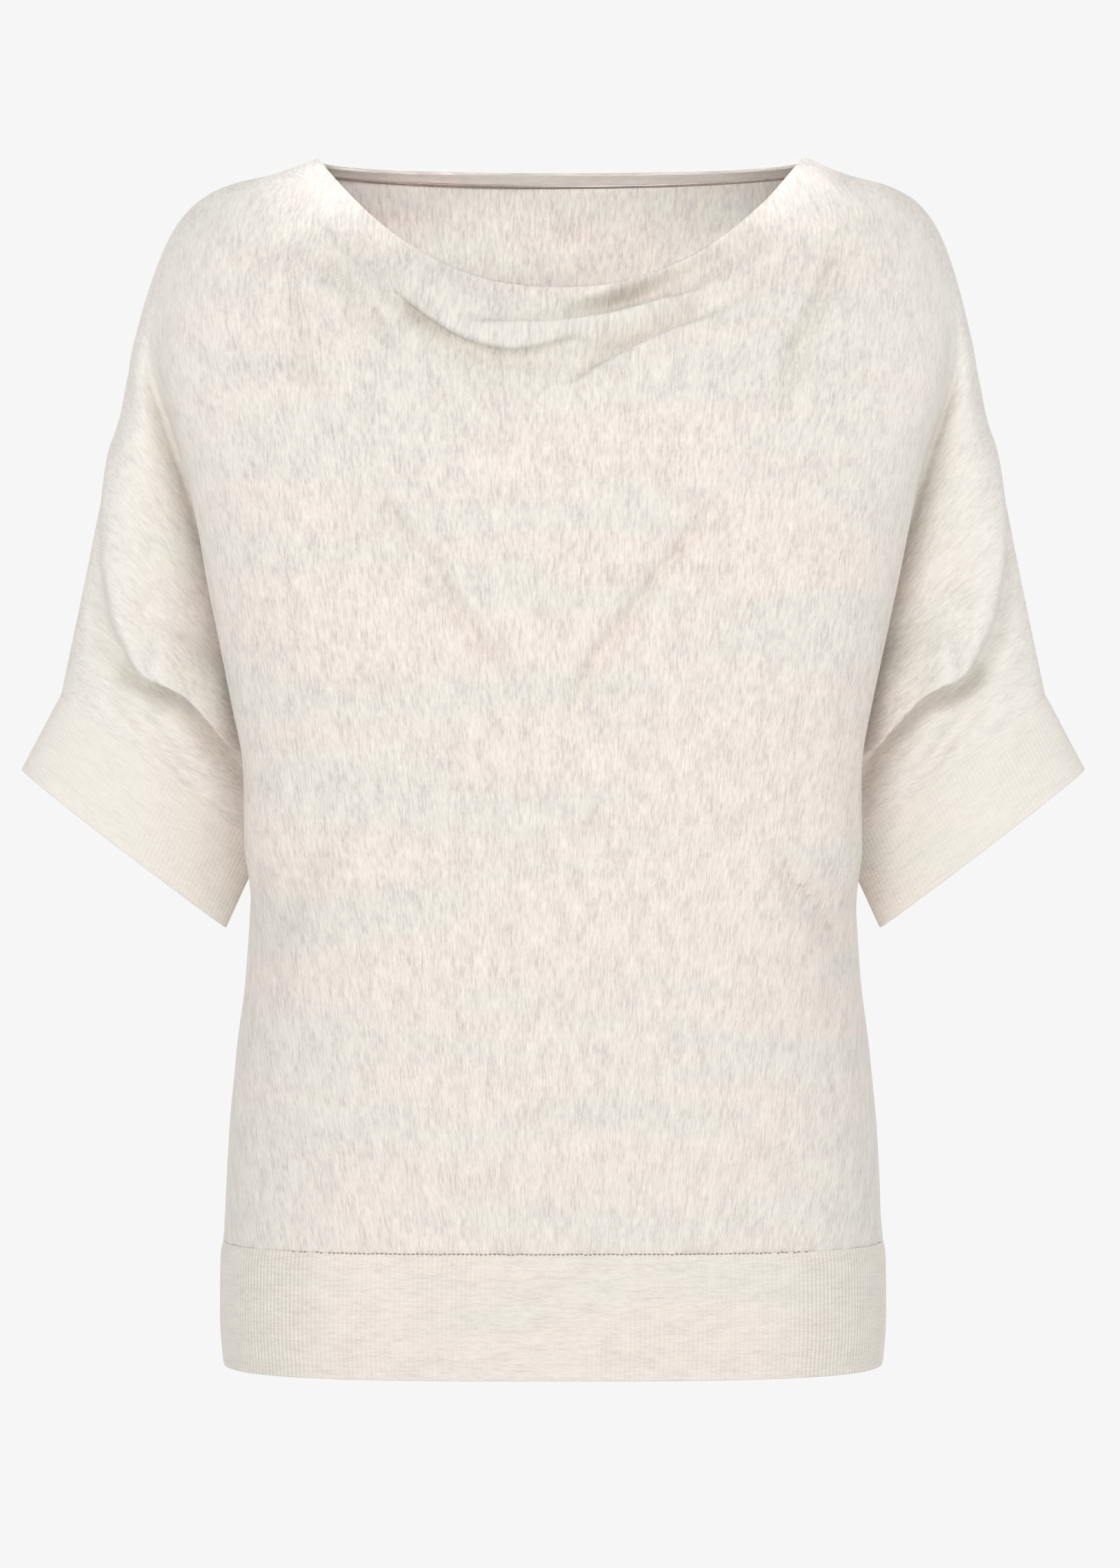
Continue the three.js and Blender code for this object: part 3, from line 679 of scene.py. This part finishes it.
def cuff_ring(sign):
    """The cuff's line at a height: the sleeve's end section, carried on to the cuff's own hem."""
    side = np.array([sign, 1, 1])
    seam = [np.array(CUFF[k]) * side + cuff_axis(sign) * JOIN_GAP for k in ("seam_inner", "seam_outer")]
    hem = [np.array(CUFF[k]) * side for k in ("hem_inner", "hem_outer")]

    def ring(t):
        inner, outer = (a + (b - a) * t for a, b in zip(seam, hem))
        share = np.linspace(0, 1, 61)[:-1]
        opening = SLEEVE.opening(np.zeros(share.shape))
        front = oval_point(inner, outer, -SLEEVE.front(0.0), share, opening)
        back = oval_point(inner, outer, SLEEVE.back(0.0), 1 - share, opening)
        line = np.vstack([front, back])
        return line if sign > 0 else line[::-1]

    return ring


def neckband_piece(material):
    """The narrow band on the back neck edge, a little thicker than the cloth below it."""
    columns = -steps(-27, 90, 0, 90, 27)
    rows = steps(1 - NECKBAND_SHARE + 0.001, 6, 1)
    i, v = np.meshgrid(columns, rows)
    points = cloth_point(BACK, i, v)
    height = np.clip((v - rows[0]) / (rows[-1] - rows[0]), 0, 1)
    points[..., 1] += 1.6 * height * (1 - height)
    knit = panel_maps(BACK, i, v)["knit"]
    bm = lattice(columns, rows, points, {"knit": knit, "ribs": knit / RIB_PITCH / MM})
    thicken(bm, NECKBAND_CLOTH, side=1, rim=0.9, rings=3)
    return piece("back_neckband_rib", bm, material, "back_neckband")


def linear(red, green, blue):
    """A colour as seen, 0 to 255, in the light that it stands for."""
    return tuple(((c / 255 + 0.055) / 1.055) ** 2.4 for c in (red, green, blue)) + (1,)


class Finish:
    """A material and its nodes."""

    def __init__(self, name, roughness, sheen):
        self.material = bpy.data.materials.new(name)
        self.material.use_nodes = True
        self.tree = self.material.node_tree
        self.surface = self.tree.nodes["Principled BSDF"]
        self.surface.inputs["Roughness"].default_value = roughness
        self.surface.inputs["Specular IOR Level"].default_value = 0.2
        self.surface.inputs["Sheen Weight"].default_value = sheen
        self.surface.inputs["Sheen Roughness"].default_value = 0.6

    def node(self, kind, inputs, **settings):
        made = self.tree.nodes.new(kind)
        for key, value in settings.items():
            setattr(made, key, value)
        for socket, value in inputs.items():
            if isinstance(value, bpy.types.NodeSocket):
                self.tree.links.new(value, made.inputs[socket])
            else:
                made.inputs[socket].default_value = value
        return made

    def uv(self, name):
        return self.node("ShaderNodeUVMap", {}, uv_map=name).outputs["UV"]

    def place(self):
        return self.node("ShaderNodeTexCoord", {}).outputs["Object"]

    def stretched(self, where, size, low, high, seed, detail=2.0, roughness=0.5):
        """Uneven flecks, size millimetres each way: 0 below low and 1 above high."""
        scale = tuple(1 / (s * MM) for s in size)
        inputs = {"Vector": where, "Location": (seed, 0.37 * seed, 0), "Scale": scale}
        moved = self.node("ShaderNodeMapping", inputs)
        inputs = {"Vector": moved.outputs[0], "Scale": 1.0, "Detail": detail, "Roughness": roughness}
        noise = self.node("ShaderNodeTexNoise", inputs)
        inputs = {"Value": noise.outputs["Fac"], "From Min": low, "From Max": high}
        return self.node("ShaderNodeMapRange", inputs, interpolation_type="SMOOTHSTEP").outputs["Result"]

    def maths(self, operation, a, b=0.0):
        return self.node("ShaderNodeMath", {0: a, 1: b}, operation=operation).outputs[0]

    def mix(self, a, b, factor):
        return self.node("ShaderNodeMix", {0: factor, 6: a, 7: b}, data_type="RGBA").outputs[2]

    def between(self, a, b, factor):
        return self.node("ShaderNodeMix", {0: factor, 2: a, 3: b}, data_type="FLOAT").outputs[0]

    def ramp(self, value, low, high):
        """0 at low and 1 at high, straight between them."""
        inputs = {"Value": value, "From Min": low, "From Max": high}
        return self.node("ShaderNodeMapRange", inputs).outputs["Result"]

    def relief(self, height, strength, distance):
        inputs = {"Height": height, "Strength": strength, "Distance": distance * MM}
        bump = self.node("ShaderNodeBump", inputs)
        self.tree.links.new(bump.outputs["Normal"], self.surface.inputs["Normal"])

    def colour(self, socket):
        self.tree.links.new(socket, self.surface.inputs["Base Color"])


# Yarn colours, from the pinkish and the greenish cone: the grey fleck, the cloth and the pale fleck of each
ROSE = (linear(198, 188, 183), linear(231, 221, 214), linear(247, 239, 231))
SAGE = (linear(193, 188, 184), linear(223, 220, 212), linear(241, 239, 228))
SAGE_BANDS = 0.65  # how green the bands get
SAGE_PLACES_AND_PAINTED_SHADE = 0.55  # how green the sleeves, the front's shoulders and the low sides get beyond that; on the shoulders and low sides this greener, darker cloth is partly painted shade
SLEEVE_PAINTED_LIGHT, SLEEVE_PAINTED_LIGHT_SHARE = linear(243, 239, 232), 0.4  # painted light: a pale colour mixed into the sleeves and cuffs, and its share
RIB_YARN, RIB_SHARE = linear(222, 217, 200), 0.12  # what the rib cloth has over the knit
# A dark colour, mixed into the neckband's rib as painted shade
RIB_PAINTED_SHADE = linear(150, 138, 130)
# The colour of the painted shade in the rib grooves
GROOVE_PAINTED_SHADE = linear(186, 178, 168)
GROOVE_SHADE_STRONGEST_AT = 0.145  # how far off the middle, in metres, the painted shade in the waistband's rib grooves is strongest


def marl(finish, where, along_first, seed):
    """The yarn's flecks as one value from 0, grey, to 1, pale. The bump uses it too."""
    def size(across, along):
        return (along, across, across) if along_first else (across, along, across)

    fine = finish.stretched(where, size(0.9, 5.5), 0.25, 0.75, seed, detail=3.0, roughness=0.62)
    long = finish.stretched(where, size(1.7, 15), 0.28, 0.72, seed + 11, detail=3.0, roughness=0.6)
    cloud = finish.stretched(where, size(8, 18), 0.3, 0.7, seed + 23, detail=2.0)
    return finish.between(finish.between(fine, long, 0.34), cloud, 0.2)


def yarn_colour(finish, fleck):
    """Bands of the two yarn cones, each from its grey fleck to its pale one. By its place on the sweater the
    cloth is greener on the sleeves, and greener and darker on the front's shoulders and the low sides, partly
    its own tone and partly painted shade. The cloth is greener and paler where the photo's is, by its place
    on the sweater. It is paler on the sleeves and cuffs, which is painted light."""
    bands = finish.stretched(finish.place(), (150, 400, 30), 0.43, 0.57, 5, detail=3.0, roughness=0.5)
    bands = finish.maths("MULTIPLY", bands, SAGE_BANDS)
    x, y, z = finish.node("ShaderNodeSeparateXYZ", {0: finish.place()}).outputs
    # How much a place is near the front's shoulders, or at the sides low down, by distances in metres. There
    # the cloth is made greener and darker, partly its own tone and partly painted shade.
    high = finish.maths("MULTIPLY", finish.ramp(z, -0.15, -0.04), finish.ramp(y, 0.05, 0.0))
    aside = finish.maths("ABSOLUTE", x)
    low = finish.maths("MULTIPLY", finish.ramp(z, -0.48, -0.53), finish.ramp(aside, 0.1, 0.14))
    greener_and_painted_shade = finish.maths("MAXIMUM", high, finish.maths("MAXIMUM", low, finish.ramp(aside, 0.17, 0.22)))
    bands = finish.between(bands, 1.0, finish.maths("MULTIPLY", greener_and_painted_shade, SAGE_PLACES_AND_PAINTED_SHADE))
    grey, cloth, pale = (finish.mix(a, b, bands) for a, b in zip(ROSE, SAGE))
    marled = finish.mix(cloth, grey, finish.ramp(fleck, 0.5, 0.0))
    marled = finish.mix(marled, pale, finish.ramp(fleck, 0.5, 1.0))
    # Painted light: the sleeves and cuffs are lightened by a pale colour mixed in, by their distance from the
    # middle
    painted_light = finish.maths("MULTIPLY", finish.ramp(aside, 0.15, 0.21), SLEEVE_PAINTED_LIGHT_SHARE)
    return finish.mix(marled, SLEEVE_PAINTED_LIGHT, painted_light)


def knit_finish():
    """The panels' cloth: the body's marl, which passes into the sleeves' own. That also changes with
    depth, so that its flecks don't run into stripes round the arm."""
    finish = Finish("marl_knit", 0.95, 0.1)
    body = marl(finish, finish.uv("knit"), False, 1)
    flat = finish.node("ShaderNodeSeparateXYZ", {0: finish.uv("sleeve_knit")}).outputs
    depth = finish.node("ShaderNodeSeparateXYZ", {0: finish.place()}).outputs["Y"]
    depth = finish.maths("MULTIPLY", depth, 0.3)
    round_arm = finish.node("ShaderNodeCombineXYZ", {"X": flat["X"], "Y": flat["Y"], "Z": depth}).outputs[0]
    sleeve = marl(finish, round_arm, False, 4)
    share = finish.node("ShaderNodeSeparateXYZ", {0: finish.uv("sleeve_share")}).outputs["X"]
    fleck = finish.between(body, sleeve, share)
    finish.colour(yarn_colour(finish, fleck))
    finish.relief(fleck, 0.6, 0.5)
    return finish.material


def rib_finish(name, shade=0.0):
    """The rib cloth. shade is the share of painted shade in it, a dark colour mixed in, from 0 to 1."""
    finish = Finish(name, 0.95, 0.1)
    fleck = finish.between(0.5, marl(finish, finish.uv("knit"), True, 7), 0.66)
    ribs = finish.node("ShaderNodeSeparateXYZ", {0: finish.uv("ribs")}).outputs["X"]
    # Painted shade in the rib grooves: darker where the rib turns in, in soft patches, and most towards the
    # waistband's sides
    turn = finish.maths("COSINE", finish.maths("MULTIPLY", ribs, 2 * math.pi))
    groove_painted_shade = finish.ramp(turn, -0.2, -1.0)
    groove_shade_patch = finish.stretched(finish.place(), (45, 60, 60), 0.46, 0.66, 9)
    x = finish.maths("ABSOLUTE", finish.node("ShaderNodeSeparateXYZ", {0: finish.place()}).outputs["X"])
    side = finish.ramp(finish.maths("ABSOLUTE", finish.maths("SUBTRACT", x, GROOVE_SHADE_STRONGEST_AT)), 0.03, 0.012)
    depth = finish.maths("MAXIMUM", finish.between(0.0, 0.16, groove_shade_patch), finish.maths("MULTIPLY", side, 0.42))
    groove_painted_shade = finish.maths("MULTIPLY", groove_painted_shade, depth)
    yarn = finish.mix(yarn_colour(finish, fleck), RIB_YARN, RIB_SHARE)
    # Painted shade: the rib is darkened towards a dark colour by shade
    yarn = finish.mix(yarn, RIB_PAINTED_SHADE, shade)
    finish.colour(finish.mix(yarn, GROOVE_PAINTED_SHADE, groove_painted_shade))
    finish.relief(fleck, 0.5, 0.4)
    return finish.material


# A thread's colour with its twist. The dark one is painted shadow along the neck and waist seams; the pale
# one is the linking thread.
def thread_and_shadow_finish(name, colour):
    finish = Finish(name, 0.9, 0.1)
    dark = tuple(c * 0.8 for c in colour[:3]) + (1,)
    twist = finish.stretched(finish.place(), (1.2, 1.2, 1.2), 0.35, 0.65, 3)
    finish.colour(finish.mix(dark, colour, twist))
    return finish.material


def stitch_and_shadow_row(name, material, pitch, size, drop, seed):
    """Stitches along the seam above the waistband, fewer of them towards the sides; in the dark colour they
    are painted shadow, dashes of shade along the seam. size is half a stitch's length along the seam,
    outwards and up, and drop is how far its middle lies below the seam."""
    ring, length = evenly(waist_ring(0.0), 2000)
    ring, _ = evenly(ring[:-1], round(length / pitch))
    bm = bmesh.new()
    draw = np.random.default_rng(seed)
    for a, b in zip(ring, ring[1:]):
        shift, chance = draw.uniform(-0.2, 0.2), draw.uniform()
        if chance < smoothstep(abs(a[0]), *SEAM_FADE):
            continue
        way = Vector(b - a).normalized()
        out = way.cross(Vector((0, 0, 1)))
        centre = Vector((a + b) / 2) + out * 0.1 - Vector((0, 0, drop + shift))
        made = bmesh.ops.create_icosphere(bm, subdivisions=1, radius=1)
        for vert in made["verts"]:
            x, y, z = vert.co
            vert.co = (centre + way * x * size[0] + out * y * size[1] + Vector((0, 0, z * size[2]))) * MM
    return piece(name, bm, material, None)


def tube_along(line, radius, sides=8):
    """A thin closed tube along an open line."""
    bm = bmesh.new()
    bmesh.ops.create_grid(bm, x_segments=sides, y_segments=len(line) - 1, size=1)
    bm.verts.ensure_lookup_table()
    way = np.gradient(line, axis=0)
    way /= np.linalg.norm(way, axis=1, keepdims=True)
    level = np.cross(way, (0, 0, 1.0))
    level /= np.linalg.norm(level, axis=1, keepdims=True)
    high = np.cross(level, way)
    for index, vert in enumerate(bm.verts):
        row, k = divmod(index, sides + 1)
        angle = 2 * math.pi * k / sides
        reach = radius * (1 if 0 < row < len(line) - 1 else 0.3)
        vert.co = (line[row] + reach * (math.cos(angle) * level[row] + math.sin(angle) * high[row])) * MM
    bmesh.ops.remove_doubles(bm, verts=bm.verts[:], dist=1e-7)
    bmesh.ops.holes_fill(bm, edges=[e for e in bm.edges if e.is_boundary], sides=sides)
    bmesh.ops.recalc_face_normals(bm, faces=bm.faces[:])
    return bm


def neck_seam_piece(material):
    """The dark line of the seam under the neckband, on the inside of the back: a thin dark tube that is
    painted shadow, where the band's lower edge shades the back.
    """
    i = -steps(-25.5, 160, 25.5)
    v = np.full(i.shape, 1 - NECKBAND_SHARE)
    line = cloth_point(BACK, i, v)
    outward = np.cross(np.gradient(line, axis=0), line - cloth_point(BACK, i, v - 0.01))
    outward *= np.sign(outward[len(i) // 2, 1]) / np.linalg.norm(outward, axis=1, keepdims=True)
    line = line - outward * (CLOTH + NECK_SHADOW_OFF)
    return piece("neck_seam_painted_shadow", tube_along(line, 0.58), material, None)


def area_light(name, place, aim, size, power):
    light = bpy.data.lights.new(name, "AREA")
    light.shape = "SQUARE"
    light.size = size
    light.energy = power
    lamp = bpy.data.objects.new(name, light)
    lamp.location = place
    lamp.rotation_euler = (Vector(aim) - Vector(place)).to_track_quat("-Z", "Y").to_euler()
    bpy.context.scene.collection.objects.link(lamp)
    return light


# The large lamps: name, place and size in metres, and power in watts
LAMPS = (
    ("key", (-0.8, -2.9, 0.5), 1.0, 23),
    ("fill", (1.3, -2.9, -0.3), 1.6, 16),
    ("behind", (-0.7, 2.8, 0.7), 1.2, 24),
    ("behind_fill", (1.1, 2.8, -0.3), 1.6, 14),
)


def studio():
    """A pale floor well below the hem, large soft lamps, a narrow one into the neck, and a pale surround
    that lights more from below than from above."""
    scene = bpy.context.scene
    scene.view_settings.view_transform = "Standard"
    world = bpy.data.worlds.new("surround")
    scene.world = world
    world.use_nodes = True
    tree = world.node_tree
    seen = tree.nodes["Background"]
    seen.inputs["Color"].default_value = linear(246, 246, 246)
    soft = tree.nodes.new("ShaderNodeBackground")
    soft.inputs["Color"].default_value = (1, 1, 1, 1)
    ways = tree.nodes.new("ShaderNodeTexCoord")
    height = tree.nodes.new("ShaderNodeSeparateXYZ")
    softer = tree.nodes.new("ShaderNodeMapRange")
    for socket, value in (("From Min", -1), ("From Max", 1), ("To Min", FROM_BELOW), ("To Max", FROM_ABOVE)):
        softer.inputs[socket].default_value = value
    tree.links.new(ways.outputs["Generated"], height.inputs[0])
    tree.links.new(height.outputs["Z"], softer.inputs["Value"])
    tree.links.new(softer.outputs["Result"], soft.inputs["Strength"])
    both = tree.nodes.new("ShaderNodeMixShader")
    path = tree.nodes.new("ShaderNodeLightPath")
    tree.links.new(path.outputs["Is Camera Ray"], both.inputs[0])
    tree.links.new(soft.outputs[0], both.inputs[1])
    tree.links.new(seen.outputs[0], both.inputs[2])
    tree.links.new(both.outputs[0], tree.nodes["World Output"].inputs["Surface"])
    bm = bmesh.new()
    bmesh.ops.create_circle(bm, cap_ends=True, segments=96, radius=3.2)
    bmesh.ops.translate(bm, verts=bm.verts[:], vec=(0, 0, FLOOR * MM))
    mesh = bpy.data.meshes.new("floor")
    bm.to_mesh(mesh)
    bm.free()
    paint = Finish("pale_floor", 0.9, 0)
    grain = paint.stretched(paint.place(), (9, 9, 9), 0.3, 0.7, 1)
    paint.colour(paint.mix(linear(228, 228, 227), linear(232, 232, 231), grain))
    mesh.materials.append(paint.material)
    floor = bpy.data.objects.new("floor", mesh)
    scene.collection.objects.link(floor)
    for name, place, size, power in LAMPS:
        area_light(name, place, LIT_POINT, size, power)
    # A narrow beam onto the inside of the back, through the neck
    neck = area_light("neck", (0, -1.104, 0.262), (0, 0.06, -0.028), 0.3, 0.042)
    neck.shape = "RECTANGLE"
    neck.size_y = 0.05
    neck.spread = math.radians(5)


def camera():
    """The photo's view: level, from in front of the middle."""
    lens = bpy.data.cameras.new("camera")
    lens.sensor_width = 36
    lens.lens = lens.sensor_width * VIEW_DISTANCE / PHOTO_SPAN
    view = bpy.data.objects.new("camera", lens)
    view.location = (0.0036, -VIEW_DISTANCE, -0.3275)
    view.rotation_euler = (math.pi / 2, 0, 0)
    bpy.context.scene.collection.objects.link(view)
    bpy.context.scene.camera = view


camera()
studio()
knit = knit_finish()
rib = rib_finish("marl_rib")
# The neckband's rib, darkened by painted shade
painted_shade_rib = rib_finish("marl_rib_painted_shade", 0.3)
front = panel_piece("front_panel", FRONT, FRONT_COLUMNS, FRONT_ROWS, knit, 11)
back = panel_piece("back_panel", BACK, BACK_COLUMNS, BACK_ROWS, knit, 31)
waistband = ring_piece(
    "waistband_rib", steps(1, 2, 0.97, 12, 0.05, 2, 0), waist_ring, WAIST_RIBS, BAND_CLOTH, rib, "waistband",
    depth=0.2, tuck=0.1,
)
for name, sign in (("left", -1), ("right", 1)):
    ring_piece(
        f"cuff_{name}_rib", steps(1, 2, 0.95, 8, 0.05, 2, 0), cuff_ring(sign), CUFF_RIBS, CLOTH, rib,
        f"cuff_{name}", depth=0.1, tuck=0,
    )
neckband = neckband_piece(painted_shade_rib)
# The dark colour is painted shadow: the shade under the neckband and in the waist seam's gap
seam_shadow_material = thread_and_shadow_finish("seam_painted_shadow", linear(142, 126, 114))
pale_thread = thread_and_shadow_finish("linking_thread", linear(244, 237, 226))
neck_seam_piece(seam_shadow_material)
stitch_and_shadow_row("waist_seam_stitches", pale_thread, RIB_PITCH, (0.45, 0.4, 0.9), 1.0, 41)
# Dark dashes of painted shadow along the waist seam
stitch_and_shadow_row("waist_seam_painted_shadow", seam_shadow_material, RIB_PITCH, (0.85, 0.34, 0.3), 0.1, 43)
